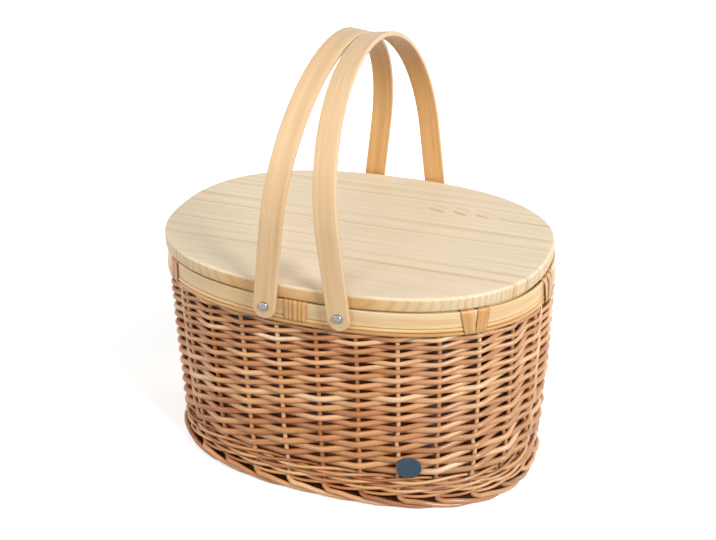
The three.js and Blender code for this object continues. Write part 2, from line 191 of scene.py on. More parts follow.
# rods: k centre lines of n points, each with a section of m points in (side, up), where up = along x side
# point = centre + side * section[0] + up * section[1]; grain holds the length along the rod and the section
def rodMesh(name, centres, sideDirs, section, tones=None, closed=False):
    k, n = centres.shape[:2]
    m = section.shape[-2]
    if closed:
        along = np.roll(centres, -1, 1) - np.roll(centres, 1, 1)
        step = np.linalg.norm(centres - np.roll(centres, 1, 1), axis=-1)
        step[:, 0] = 0
    else:
        along = np.gradient(centres, axis=1)
        step = np.linalg.norm(np.diff(centres, axis=1, prepend=centres[:, :1]), axis=-1)
    along = unit(along)
    side = unit(sideDirs - np.sum(sideDirs * along, -1, keepdims=True) * along)
    up = np.cross(along, side)
    section = np.broadcast_to(section, (k, n, m, 2))
    points = centres[:, :, None] + side[:, :, None] * section[..., :1] + up[:, :, None] * section[..., 1:]
    index = np.arange(k * n * m).reshape(k, n, m)
    caps = () if closed else (index[:, 0, ::-1], index[:, -1])
    tones = draw.random(k) if tones is None else tones
    shift = draw.random((k, 1, 1)) * grainSpread
    length = np.broadcast_to(np.cumsum(step, 1)[:, :, None] * mm + shift, (k, n, m))
    grain = np.stack([length, section[..., 0] * mm + shift, section[..., 1] * mm], -1)
    tone = np.broadcast_to(tones[:, None, None], (k, n, m))
    values = {"grain": grain.reshape(-1, 3), "tone": tone.ravel()}
    return makeMesh(name, points, gridQuads(index, closed), caps, values)


# round or oval section of m points: (a cos, b sin), squared off towards a box as squareness falls below 1
def roundSection(a, b, m, squareness=1.0):
    t = np.arange(m) / m * 2 * np.pi
    c, s = np.cos(t), np.sin(t)
    c = np.sign(c) * np.abs(c) ** squareness
    s = np.sign(s) * np.abs(s) ** squareness
    return np.stack(np.broadcast_arrays(np.asarray(a)[..., None] * c, np.asarray(b)[..., None] * s), -1)


# box section with quarter-round corners, given by half-width, half-height and corner radius;
# a point just before and after each corner keeps the flats flat
def boxSection(a, b, r, steps=5, hold=0.25):
    turn = np.linspace(0, np.pi / 2, steps)
    arc = np.stack([np.cos(turn), np.sin(turn)], -1) * r
    arc = np.concatenate([[(r, -hold * r)], arc, [(-hold * r, r)]])
    quarter = np.array([[0, 1], [-1, 0]])
    middle = np.array([(a - r, b - r), (r - a, b - r), (r - a, r - b), (a - r, r - b)])
    return np.concatenate([arc @ np.linalg.matrix_power(quarter, i) + middle[i] for i in range(4)])


# ring carried round an oval: profile rows of (outwards, height), n steps round, moved outwards by wave(share)
def ovalRing(name, halfX, halfY, profile, n=360, wave=None, values=None):
    share = (np.arange(n) / n)[:, None]
    m = len(profile)
    out = np.broadcast_to(profile[:, 0], (n, m))
    z = np.broadcast_to(profile[:, 1], (n, m))
    if wave is not None:
        out = out + wave(share)
    points = ovalPoint(share, halfX, halfY, z, out)[0]
    index = np.arange(n * m).reshape(n, m)
    if values is None:
        grain = np.stack([np.broadcast_to(share * rimGirth * mm, (n, m)), out * mm, z * mm], -1)
        values = {"grain": grain.reshape(-1, 3), "tone": np.full(n * m, 0.5)}
    return makeMesh(name, points, gridQuads(index, True), (), values)


# closed oval body: rows of (half-length X, half-length Y, z) from the middle of its underside to the middle
# of its top, with every point raised by lift(points)
def ovalBody(name, rows, n, lift=None):
    halfX, halfY, z = (column[:, None] for column in rows.T)
    points = ovalPoint((np.arange(n) / n)[None], halfX, halfY, z)[0]
    if lift is not None:
        points[..., 2] = points[..., 2] + lift(points)
    index = np.arange(len(rows) * n).reshape(-1, n)
    return makeMesh(name, points, gridQuads(index), (index[:1, ::-1], index[-1:]))


# rows of a pad's outline for ovalBody: (inset, height) pairs measured from its underside, then from its top
def padRows(halfX, halfY, bottom, top, lower, upper):
    inset, z = np.concatenate([np.add(lower, (0, bottom)), np.add(upper, (0, top))]).T
    return np.stack([halfX - inset, halfY - inset, z], -1)


# squares sewn into a pad: depth * (1 - sqrt|sin(pi x / pitch) sin(pi y / pitch)|), deepest along the seams
def quilt(points, pitch, depth):
    x, y = points[..., 0], points[..., 1]
    return depth * (1 - np.abs(np.sin(np.pi * x / pitch) * np.sin(np.pi * y / pitch)) ** 0.5)


# turned body: rows of (radius, way along the axis), n steps round, edges above an angle in degrees kept sharp
# point = centre + radius * (across * cos + up * sin) + along * way; sides gives the radius another outline
def turnedMesh(name, centre, axes, rows, n, sharpAngle, sides=None):
    across, up, along = axes
    t = np.arange(n) / n * 2 * np.pi
    disc = across * np.cos(t)[:, None] + up * np.sin(t)[:, None]
    if sides is not None:
        disc = disc * sides(t)[:, None]
    closed = np.allclose(rows[0], rows[-1])
    rows = rows[:-1] if closed else rows
    points = centre + rows[:, None, :1] * disc + rows[:, None, 1:] * along
    index = np.arange(len(rows) * n).reshape(-1, n)
    caps = () if closed else (index[:1, ::-1], index[-1:])
    mesh = makeMesh(name, points, gridQuads(index, closed), caps)
    mesh.set_sharp_from_angle(angle=math.radians(sharpAngle))
    return mesh


# Helpers for materials

# sRGB hex colour as linear red, green, blue, alpha
def linear(hexColour):
    value = np.array([int(hexColour[i:i + 2], 16) for i in (1, 3, 5)]) / 255
    value = np.where(value <= 0.04045, value / 12.92, ((value + 0.055) / 1.055) ** 2.4)
    return (*value.tolist(), 1.0)


# sets a node's inputs: each takes a value, a socket, or a node, which gives its first output in use
def setInputs(tree, node, inputs):
    for key, value in inputs.items():
        if isinstance(value, bpy.types.Node):
            value = next(socket for socket in value.outputs if socket.enabled)
        if isinstance(value, bpy.types.NodeSocket):
            tree.links.new(value, node.inputs[key])
        else:
            node.inputs[key].default_value = value


# adds a node with its settings and inputs
def addNode(tree, kind, inputs=None, **settings):
    node = tree.nodes.new("ShaderNode" + kind)
    for key, value in settings.items():
        setattr(node, key, value)
    setInputs(tree, node, inputs or {})
    return node


# gives a ramp its (place, hex colour) stops
def setStops(ramp, stops):
    ramp = ramp.color_ramp
    while len(ramp.elements) < len(stops):
        ramp.elements.new(1.0)
    for element, (place, colour) in zip(ramp.elements, stops):
        element.position = place
        element.color = linear(colour)


def newMaterial(name):
    material = bpy.data.materials.new(name)
    material.use_nodes = True
    tree = material.node_tree
    return material, tree, tree.nodes["Principled BSDF"]


# Peeled willow rod: satin bast surface with fine streaks along the rod, each rod with its own shade, and
# painted light on the right end of the basket
# scales are per metre along and across the rod: streaks about 1 mm wide and 60 mm long, patches of 90 mm
rodLook = {
    "streakScale": (16, 900, 900), "streak": 0.6, "patchScale": (11, 40, 40), "patch": 1.2,
    "darkest": 0.45, "palest": 2.25, "redTint": "#e08f70", "redTimes": 7.3, "redFrom": 0.5, "redMost": 0.3,
    # painted light: a cream tint over the right end of the basket, for the stronger light there
    "paintedLightTint": "#f3dcb8", "paintedLightFrom": 0.06, "paintedLightTo": 0.14, "paintedLightMost": 0.26,
    "smoother": 0.07, "rougher": 0.09, "coat": 0.2,
}


def willowMaterial(name, stops, roughness, shine=0.5):
    material, tree, shader = newMaterial(name)
    grain = addNode(tree, "Attribute", attribute_name="grain").outputs["Vector"]
    tone = addNode(tree, "Attribute", attribute_name="tone").outputs["Fac"]
    stretch = addNode(tree, "VectorMath", {0: grain, 1: rodLook["streakScale"]}, operation="MULTIPLY")
    streak = addNode(tree, "TexNoise", {"Vector": stretch, "Scale": 1.0, "Detail": 3.0})
    slow = addNode(tree, "VectorMath", {0: grain, 1: rodLook["patchScale"]}, operation="MULTIPLY")
    patch = addNode(tree, "TexNoise", {"Vector": slow, "Scale": 1.0, "Detail": 2.0})
    mixed = addNode(tree, "Math", {0: patch, 1: rodLook["patch"], 2: tone}, operation="MULTIPLY_ADD")
    mixed = addNode(tree, "Math", {0: streak, 1: rodLook["streak"], 2: mixed}, operation="MULTIPLY_ADD")
    spread = addNode(tree, "MapRange", {
        "Value": mixed, "From Min": rodLook["darkest"], "From Max": rodLook["palest"],
    })
    ramp = addNode(tree, "ValToRGB", {"Fac": spread})
    setStops(ramp, stops)
    # some rods are redder: the share is drawn from the rod's tone
    many = addNode(tree, "Math", {0: tone, 1: rodLook["redTimes"]}, operation="MULTIPLY")
    share = addNode(tree, "Math", {0: many}, operation="FRACT")
    redness = addNode(tree, "MapRange", {
        "Value": share, "From Min": rodLook["redFrom"], "To Max": rodLook["redMost"],
    })
    red = addNode(tree, "Mix", {
        0: redness, 6: ramp, 7: linear(rodLook["redTint"]),
    }, data_type="RGBA", blend_type="MULTIPLY")
    # painted light: the right end is painted paler, towards cream, for the stronger light that falls there;
    # rods of little shine, as the near-black ones, keep their colour
    place = addNode(tree, "TexCoord").outputs["Object"]
    spots = addNode(tree, "SeparateXYZ", {0: place})
    paintedLight = addNode(tree, "MapRange", {
        "Value": spots, "From Min": rodLook["paintedLightFrom"], "From Max": rodLook["paintedLightTo"],
        "To Max": rodLook["paintedLightMost"] * shine,
    })
    pale = addNode(tree, "Mix", {0: paintedLight, 6: red, 7: linear(rodLook["paintedLightTint"])}, data_type="RGBA")
    rough = addNode(tree, "MapRange", {
        "Value": streak, "To Min": roughness - rodLook["smoother"], "To Max": roughness + rodLook["rougher"],
    })
    bump = addNode(tree, "Bump", {"Height": streak, "Strength": 0.25, "Distance": 0.0004})
    setInputs(tree, shader, {
        "Base Color": pale, "Roughness": rough, "Normal": bump, "Specular IOR Level": shine,
        "Coat Weight": rodLook["coat"] * shine, "Coat Roughness": 0.18,
    })
    return material


# Split or bent wood strip: long even streaks with the grain, thin clear lacquer
# streaks are 200 mm long and streakSize mm wide, pores 25 mm long and about 0.6 mm wide
stripLook = {
    "streakLength": 200.0, "poreScale": (40, 1800, 1800), "pore": 0.3, "innerFrom": 0.0012, "innerTo": 0.0024,
}


def stripMaterial(name, stops, streakSize, roughness, coat, innerTint=None):
    material, tree, shader = newMaterial(name)
    grain = addNode(tree, "Attribute", attribute_name="grain").outputs["Vector"]
    scale = (1 / (stripLook["streakLength"] * mm), 1 / (streakSize * mm), 1 / (streakSize * mm))
    stretch = addNode(tree, "VectorMath", {0: grain, 1: scale}, operation="MULTIPLY")
    streak = addNode(tree, "TexNoise", {"Vector": stretch, "Scale": 1.0, "Detail": 4.0, "Roughness": 0.6})
    fine = addNode(tree, "VectorMath", {0: grain, 1: stripLook["poreScale"]}, operation="MULTIPLY")
    pore = addNode(tree, "TexNoise", {"Vector": fine, "Scale": 1.0, "Detail": 2.0})
    mixed = addNode(tree, "Math", {0: pore, 1: stripLook["pore"], 2: streak}, operation="MULTIPLY_ADD")
    spread = addNode(tree, "MapRange", {"Value": mixed, "From Min": 0.4, "From Max": 0.9})
    colour = addNode(tree, "ValToRGB", {"Fac": spread})
    setStops(colour, stops)
    if innerTint:
        # the face towards the inside of the bend is darker and more orange
        parts = addNode(tree, "SeparateXYZ", {0: grain})
        inside = addNode(tree, "MapRange", {
            "Value": parts.outputs[2], "From Min": stripLook["innerFrom"], "From Max": stripLook["innerTo"],
        })
        colour = addNode(tree, "Mix", {
            0: inside, 6: colour, 7: linear(innerTint),
        }, data_type="RGBA", blend_type="MULTIPLY")
    bump = addNode(tree, "Bump", {"Height": mixed, "Strength": 0.15, "Distance": 0.0003})
    setInputs(tree, shader, {
        "Base Color": colour, "Roughness": roughness, "Normal": bump,
        "Coat Weight": coat, "Coat Roughness": 0.3,
    })
    return material


# Planed pine: a quarter-sawn board, whose growth rings show as straight lines on the face and as ribs on the
# round ends, with a pointed figure over a hidden knot; the long edges are tinted tan, and the whole edge has
# painted shade
# lengths in metres, scales per metre along and across the board
board = {
    "heart": (0.0, -0.42, -0.215), "heartTurn": 0.6, "ring": 0.0042,
    "swayScale": (3.0, 6, 6), "sway": 0.012, "unevenScale": (2.5, 90, 90), "uneven": 0.003,
    "figurePlace": (0.088, 0.073, 0.245), "figureSize": (0.07, 0.023, 0.05), "figureCore": 0.3,
    "crescent": 0.025, "crescentSkew": 0.8, "crescentDepth": 0.0038,
    "fade": 0.95, "faint": 0.35, "strong": 1.1,
    "earlyWood": 0.02, "lateWood": ((0.5, 0.08), (0.8, 0.9), (0.9, 0.75)),
    "yearScale": 0.45, "yearFrom": 0.46, "yearTo": 0.72, "yearDepth": 0.58,
    "broadScale": (3.5, 16, 16), "fibreScale": (25, 900, 900), "fibre": 0.22,
    "faceEdge": 0.2446, "sideEdge": 0.2415, "faceDepth": 0.12, "sideDepth": 0.38,
    "stops": ((0.1, "#eddcc0"), (0.45, "#e4cda8"), (0.95, "#c69b69")),
    # edge tints: tan on the long edges, and a slight darkening of the whole edge as painted shade on the
    # rounding
    "longFrom": 0.06, "longTo": 0.14, "longTint": "#f8e3c2", "paintedEdgeShade": "#f3ebdf",
}


def pineMaterial(name):
    material, tree, shader = newMaterial(name)
    place = addNode(tree, "TexCoord").outputs["Object"]
    turn = (0, 0, math.radians(board["heartTurn"]))
    turned = addNode(tree, "Mapping", {"Vector": place, "Location": board["heart"], "Rotation": turn})
    bend = addNode(tree, "VectorMath", {0: turned, 1: board["swayScale"]}, operation="MULTIPLY")
    sway = addNode(tree, "TexNoise", {"Vector": bend, "Scale": 1.0, "Detail": 2.0})
    parts = addNode(tree, "SeparateXYZ", {0: turned})
    flat = addNode(tree, "CombineXYZ", {1: parts.outputs[1], 2: parts.outputs[2]})
    radius = addNode(tree, "VectorMath", {0: flat}, operation="LENGTH")
    # rings about 4.2 mm apart and uneven by 1 mm, bent by up to 3 mm
    swayed = addNode(tree, "Math", {0: sway, 1: board["sway"], 2: radius}, operation="MULTIPLY_ADD")
    across = addNode(tree, "VectorMath", {0: turned, 1: board["unevenScale"]}, operation="MULTIPLY")
    uneven = addNode(tree, "TexNoise", {"Vector": across, "Scale": 1.0, "Detail": 1.0})
    swayed = addNode(tree, "Math", {0: uneven, 1: board["uneven"], 2: swayed}, operation="MULTIPLY_ADD")
    # the figure: a zone of 140 x 46 mm where the lines break into crescents every 25 mm
    offset = addNode(tree, "VectorMath", {0: place, 1: board["figurePlace"]}, operation="SUBTRACT")
    spot = addNode(tree, "VectorMath", {0: offset, 1: board["figureSize"]}, operation="DIVIDE")
    far = addNode(tree, "VectorMath", {0: spot}, operation="LENGTH")
    zone = addNode(tree, "MapRange", {
        "Value": far, "From Min": board["figureCore"], "To Min": 1.0, "To Max": 0.0,
    }, interpolation_type="SMOOTHSTEP")
    # crescent = sin(phase + skew * sin(phase)), which rises fast and falls slowly
    phase = addNode(tree, "Math", {0: parts, 1: 2 * math.pi / board["crescent"]}, operation="MULTIPLY")
    skew = addNode(tree, "Math", {0: phase}, operation="SINE")
    skew = addNode(tree, "Math", {0: skew, 1: board["crescentSkew"], 2: phase}, operation="MULTIPLY_ADD")
    crescent = addNode(tree, "Math", {0: skew}, operation="SINE")
    jag = addNode(tree, "Math", {0: crescent, 1: zone}, operation="MULTIPLY")
    swayed = addNode(tree, "Math", {0: jag, 1: board["crescentDepth"], 2: swayed}, operation="MULTIPLY_ADD")
    rings = addNode(tree, "Math", {0: swayed, 1: 1 / board["ring"]}, operation="MULTIPLY")
    ring = addNode(tree, "Math", {0: rings}, operation="FRACT")
    late = addNode(tree, "FloatCurve", {"Value": ring})
    curve = late.mapping.curves[0]
    for end in (0, 1):
        curve.points[end].location = (end, board["earlyWood"])
    for year, dark in board["lateWood"]:
        curve.points.new(year, dark)
    late.mapping.update()
    # on the face the dark years draw soft lines about 9 mm apart, on the edge every year shows
    years = addNode(tree, "TexNoise", {
        "W": rings, "Scale": board["yearScale"], "Detail": 2.0, "Roughness": 0.6,
    }, noise_dimensions="1D")
    line = addNode(tree, "MapRange", {
        "Value": years, "From Min": board["yearFrom"], "From Max": board["yearTo"],
        "To Max": board["yearDepth"],
    })
    spots = addNode(tree, "SeparateXYZ", {0: place})
    low = addNode(tree, "MapRange", {
        "Value": spots.outputs[2], "From Min": board["faceEdge"], "From Max": board["sideEdge"],
    })
    depth = addNode(tree, "MapRange", {
        "Value": low, "To Min": board["faceDepth"], "To Max": board["sideDepth"],
    })
    # in the figure the falling part of each crescent is dark and the rising part fades: fade - cos(phase)
    wave = addNode(tree, "Math", {0: phase}, operation="COSINE")
    dark = addNode(tree, "Math", {0: board["fade"], 1: wave}, operation="SUBTRACT", use_clamp=True)
    strong = addNode(tree, "MapRange", {"Value": dark, "To Min": board["faint"], "To Max": board["strong"]})
    strong = addNode(tree, "Mix", {0: zone, 2: 1.0, 3: strong})
    line = addNode(tree, "Math", {0: line, 1: strong}, operation="MULTIPLY")
    # plainer stretches, about 60 mm wide and 300 mm long
    broad = addNode(tree, "VectorMath", {0: turned, 1: board["broadScale"]}, operation="MULTIPLY")
    stretch = addNode(tree, "TexNoise", {"Vector": broad, "Scale": 1.0, "Detail": 1.0})
    plain = addNode(tree, "MapRange", {
        "Value": stretch, "From Min": 0.35, "From Max": 0.65, "To Min": 0.3, "To Max": 1.0,
    })
    plain = addNode(tree, "Math", {0: plain, 1: zone}, operation="MAXIMUM")
    figure = addNode(tree, "Math", {0: late, 1: depth}, operation="MULTIPLY")
    figure = addNode(tree, "Math", {0: line, 1: plain, 2: figure}, operation="MULTIPLY_ADD")
    fine = addNode(tree, "VectorMath", {0: turned, 1: board["fibreScale"]}, operation="MULTIPLY")
    fibre = addNode(tree, "TexNoise", {"Vector": fine, "Scale": 1.0, "Detail": 3.0})
    mixed = addNode(tree, "Math", {0: fibre, 1: board["fibre"], 2: figure}, operation="MULTIPLY_ADD")
    colour = addNode(tree, "ValToRGB", {"Fac": mixed})
    setStops(colour, board["stops"])
    # long edges: below the rounded rim of the face, and away from the ends
    side = addNode(tree, "Math", {0: spots}, operation="ABSOLUTE")
    long = addNode(tree, "MapRange", {
        "Value": side, "From Min": board["longFrom"], "From Max": board["longTo"],
        "To Min": 1.0, "To Max": 0.0,
    }, interpolation_type="SMOOTHSTEP")
    edge = addNode(tree, "Math", {0: low, 1: long}, operation="MULTIPLY")
    # they are tinted tan, and all round the edge is painted a little darker than the face, as painted shade
    for share, tint in ((edge, board["longTint"]), (low, board["paintedEdgeShade"])):
        colour = addNode(tree, "Mix", {
            0: share, 6: colour, 7: linear(tint),
        }, data_type="RGBA", blend_type="MULTIPLY")
    bump = addNode(tree, "Bump", {"Height": mixed, "Strength": 0.1, "Distance": 0.0003})
    setInputs(tree, shader, {"Base Color": colour, "Roughness": 0.5, "Normal": bump})
    return material


# Woven polyester cloth: threads about 0.6 mm apart, drawn at 1.2 mm so that they show
def clothMaterial(name, light, dark, thread, shadeBacking=None):
    material, tree, shader = newMaterial(name)
    place = addNode(tree, "TexCoord").outputs["Object"]
    weave = addNode(tree, "TexChecker", {
        "Vector": place, "Scale": 1 / (thread * mm), "Color1": linear(light), "Color2": linear(dark),
    })
    mottle = addNode(tree, "TexNoise", {"Vector": place, "Scale": 45.0, "Detail": 3.0})
    shade = addNode(tree, "Mix", {0: mottle, 6: weave, 7: linear(dark)}, data_type="RGBA")
    if shadeBacking:
        # painted shade: the side towards the weave is painted dark brown for the shade between the rods, and
        # the grey cloth shows through in patches of about 35 mm
        outer = addNode(tree, "Attribute", attribute_name="outer").outputs["Fac"]
        patch = addNode(tree, "TexNoise", {"Vector": place, "Scale": 28.0, "Detail": 1.0})
        patchyShade = addNode(tree, "MapRange", {
            "Value": patch, "From Min": 0.5, "From Max": 0.62, "To Min": 1.0, "To Max": 0.35,
        })
        cover = addNode(tree, "Math", {0: outer, 1: patchyShade}, operation="MULTIPLY")
        shade = addNode(tree, "Mix", {0: cover, 6: shade, 7: linear(shadeBacking)}, data_type="RGBA")
    bump = addNode(tree, "Bump", {"Height": weave.outputs["Fac"], "Strength": 0.2, "Distance": 0.0003})
    setInputs(tree, shader, {"Base Color": shade, "Roughness": 0.85, "Sheen Weight": 0.15, "Normal": bump})
    return material


# Zinc-plated steel: bright, with a faint uneven polish about 1 mm across
def steelMaterial(name):
    material, tree, shader = newMaterial(name)
    place = addNode(tree, "TexCoord").outputs["Object"]
    polish = addNode(tree, "TexNoise", {"Vector": place, "Scale": 900.0, "Detail": 2.0})
    rough = addNode(tree, "MapRange", {"Value": polish, "To Min": 0.16, "To Max": 0.34})
    shade = addNode(tree, "ValToRGB", {"Fac": polish})
    setStops(shade, ((0.3, "#717478"), (0.7, "#8b8e92")))
    setInputs(tree, shader, {"Base Color": shade, "Roughness": rough, "Metallic": 1.0})
    return material


# Slate-blue moulded disc: dull, with a fine grit of about 1.4 mm
def slateMaterial(name):
    material, tree, shader = newMaterial(name)
    place = addNode(tree, "TexCoord").outputs["Object"]
    grit = addNode(tree, "TexNoise", {"Vector": place, "Scale": 700.0, "Detail": 4.0})
    shade = addNode(tree, "ValToRGB", {"Fac": grit})
    setStops(shade, ((0.3, "#33424f"), (0.7, "#3e5060")))
    bump = addNode(tree, "Bump", {"Height": grit, "Strength": 0.15, "Distance": 0.0002})
    setInputs(tree, shader, {
        "Base Color": shade, "Roughness": 0.6, "Specular IOR Level": 0.3, "Normal": bump,
    })
    return material


willow = willowMaterial(
    "peeled willow rods", ((0.0, "#713b19"), (0.35, "#b3723d"), (0.65, "#dba66f"), (1.0, "#fde6c6")),
    roughness=0.3)
darkWillow = willowMaterial(
    "peeled willow, foot rods", ((0.0, "#6b391b"), (0.35, "#a86837"), (0.7, "#cf965f"), (1.0, "#f2cfa0")),
    roughness=0.3)
# near-black willow, painted shade for the slots of the border
shadeWillow = willowMaterial(
    "willow rods painted dark as shade", ((0.0, "#1c0f07"), (0.5, "#2a170b"), (1.0, "#3a2212")),
    roughness=0.7, shine=0.05)
chipWood = stripMaterial(
    "bent chip wood, lacquered", ((0.0, "#d4ac72"), (0.5, "#e4c492"), (1.0, "#efd8ae")),
    streakSize=9.0, roughness=0.42, coat=0.15)
caneSkin = stripMaterial(
    "split cane", ((0.0, "#b07c43"), (0.5, "#cd9b5e"), (1.0, "#e0b97f")),
    streakSize=3.0, roughness=0.4, coat=0.1)
brownCane = stripMaterial(
    "split cane, darker brown", ((0.0, "#a36a34"), (0.5, "#c0864a"), (1.0, "#d6a468")),
    streakSize=3.0, roughness=0.4, coat=0.1)
paleRod = stripMaterial(
    "peeled cane rod", ((0.0, "#c3925a"), (0.5, "#dfb57c"), (1.0, "#eed2a2")),
    streakSize=3.0, roughness=0.42, coat=0.1)
bentWood = stripMaterial(
    "steam-bent ash strip, lacquered", ((0.0, "#cda777"), (0.5, "#d9b68a"), (1.0, "#e2c69e")),
    streakSize=5.0, roughness=0.42, coat=0.15, innerTint="#f4e0c0")
pine = pineMaterial("planed pine board")
# its side towards the weave is painted dark brown, as painted shade between the rods
linerCloth = clothMaterial("grey insulating cloth", "#8a8a8b", "#6d6e70", thread=1.2, shadeBacking="#5c2c10")
tapeCloth = clothMaterial("grey edge tape", "#67707a", "#535c66", thread=1.2)
zinc = steelMaterial("zinc-plated steel")
slate = slateMaterial("slate-blue disc")
print("materials ready")

# Woven wall: from behind every stake a rod starts on the wale and climbs to the right, in front of one stake
# and behind the next, about once round the basket; its thick end is at the bottom and its tip at the rim
# a stroke is one stake in front and one behind
weave = {
    "strokes": 15, "bottom": 38.0, "lowPitch": 13.8, "middle": -6.85, "swing": 4.6,
    "butt": 3.4, "tip": 2.3, "flat": 0.76, "thinnest": 0.93, "thicker": 0.14, "darkest": 0.15, "paler": 0.75,
    "shake": 0.3, "sidestep": 0.02, "steps": 14, "soften": 4, "sides": 10,
}


# line through knots, straight between them and eased at the knots
def bentLine(knots, steps, soften):
    f = (np.arange(steps) / steps)[:, None]
    line = knots[:, :-1, None] * (1 - f) + knots[:, 1:, None] * f
    line = np.concatenate([line.reshape(len(knots), -1, 3), knots[:, -1:]], 1)
    for _ in range(soften):
        line[:, 1:-1] = 0.25 * line[:, :-2] + 0.5 * line[:, 1:-1] + 0.25 * line[:, 2:]
    return line


# radius along a rod, from its thick end to its tip
def taperedRadius(rod, points):
    return (rod["butt"] + (rod["tip"] - rod["butt"]) * np.linspace(0, 1, points))[None]


def makeWeave():
    count, strokes = form["stakes"], weave["strokes"]
    passed = np.arange(2 * strokes + 1)[None]
    climb = passed / 2
    # height = bottom + pitch * strokes done, with a pitch that falls as the rods get thinner
    height = form["shoulder"] - weave["bottom"]
    fall = 2 * (height - weave["lowPitch"] * strokes) / strokes ** 2
    z = weave["bottom"] + weave["lowPitch"] * climb + fall * climb ** 2 / 2
    z = z + weave["shake"] * draw.normal(size=(count, passed.size))
    out = weave["middle"] - weave["swing"] * np.cos(np.pi * passed)
    out = out + 0.5 * weave["shake"] * draw.normal(size=z.shape)
    stakes = np.arange(count)[:, None] + passed + weave["sidestep"] * draw.normal(size=z.shape)
    knots, normals = wallPoint(stakeShare(stakes), z, out)
    centres = bentLine(knots, weave["steps"], weave["soften"])
    facing = bentLine(normals, weave["steps"], 2 * weave["soften"])
    radius = taperedRadius(weave, centres.shape[1])
    radius = radius * (weave["thinnest"] + weave["thicker"] * draw.random((count, 1)))
    section = roundSection(radius * weave["flat"], radius, weave["sides"])
    tones = weave["darkest"] + weave["paler"] * draw.random(count)
    for name, part in (("wall_weave_a", slice(0, None, 2)), ("wall_weave_b", slice(1, None, 2))):
        mesh = rodMesh(name, centres[part], facing[part], section[part], tones[part])
        addPiece(mesh, willow, "basket", "willow", "woven_wall")


# Stakes: uprights inside the weave, from the border to between the rim bands
stake = {
    "radius": 2.1, "bottom": 13.0, "top": 222.0, "low": -6.6, "high": -5.8,
    "bendFrom": 195.0, "bendRise": 12.0, "steps": 40, "sides": 12,
}


def makeStakes():
    count = form["stakes"]
    z = np.linspace(stake["bottom"], stake["top"], stake["steps"])
    bend = np.clip((z - stake["bendFrom"]) / stake["bendRise"], 0, 1)
    out = stake["low"] + (stake["high"] - stake["low"]) * bend
    share = stakeShare(np.arange(count))[:, None]
    centres, normal = wallPoint(share, np.broadcast_to(z, (count, stake["steps"])), out)
    section = roundSection(stake["radius"], stake["radius"], stake["sides"])
    addPiece(rodMesh("wall_stakes", centres, normal, section), willow, "basket", "willow", "woven_wall")


makeWeave()
makeStakes()
print("wall woven")

# Wale: four ropes of three fine rods twisted round the foot of the stakes, rising to the right in front
wale = {
    "ropes": 4, "strands": 3, "turns": 9, "lag": 0.13, "low": 15.6, "high": 32.0,
    "middle": -5.4, "swing": 4.4, "rise": 2.3, "radius": 1.7, "thinnest": 0.92, "thicker": 0.16,
    "darkest": 0.1, "paler": 0.7, "n": 560, "sides": 8,
}


def makeWale():
    ropes, strands = wale["ropes"], wale["strands"]
    share = (np.arange(wale["n"]) / wale["n"])[None]
    strand = np.tile(np.arange(strands), ropes)[:, None]
    rope = np.repeat(np.arange(ropes), strands)[:, None]
    # strand = level of its rope + (swing * cos, rise * sin) of its turn
    turn = 2 * np.pi * (wale["turns"] * share + strand / strands + wale["lag"] * rope)
    level = wale["low"] + (wale["high"] - wale["low"]) * rope / (ropes - 1)
    z = level + wale["rise"] * np.sin(turn)
    out = wale["middle"] + wale["swing"] * np.cos(turn)
    centres, normal = wallPoint(np.broadcast_to(share, turn.shape), z, out)
    radius = wale["radius"] * (wale["thinnest"] + wale["thicker"] * draw.random((ropes * strands, 1)))
    section = roundSection(radius, radius, wale["sides"])
    tones = wale["darkest"] + wale["paler"] * draw.random(ropes * strands)
    mesh = rodMesh("wale_rods", centres, normal, section, tones, closed=True)
    addPiece(mesh, willow, "basket", "dark_willow", "upset_wale")


# Rolled border: the end of every stake comes down behind the wale, bends sharply out to the right, lies under
# the wale up to the next bend, drops to the floor and ends underneath; ways along it are in stake spaces
border = {
    "drop": 9.0, "dropSteps": 13, "reach": 2.0, "top": 11.0, "low": 2.7, "half": 0.88,
    "tuck": -8.2, "face": -2.6, "under": 2.4, "underFrom": 0.7, "underSpan": 0.6, "bend": 0.18, "end": 0.5,
    "wobble": 0.25, "wobbleRate": 2.6, "wobblePhase": 6,
    "butt": 2.75, "tip": 2.5, "n": 116, "soften": 6, "sides": 10,
    "shadeBacking": ((-9.2, 3.2), (-9.2, 8.0), (-11.5, 12.4), (-13.6, 6.0), (-14.6, 10.6), (-16.2, 15.2)),
    "backingSteps": 300, "backingWave": 0.5, "backingLag": 9, "backingTone": 0.4,
}


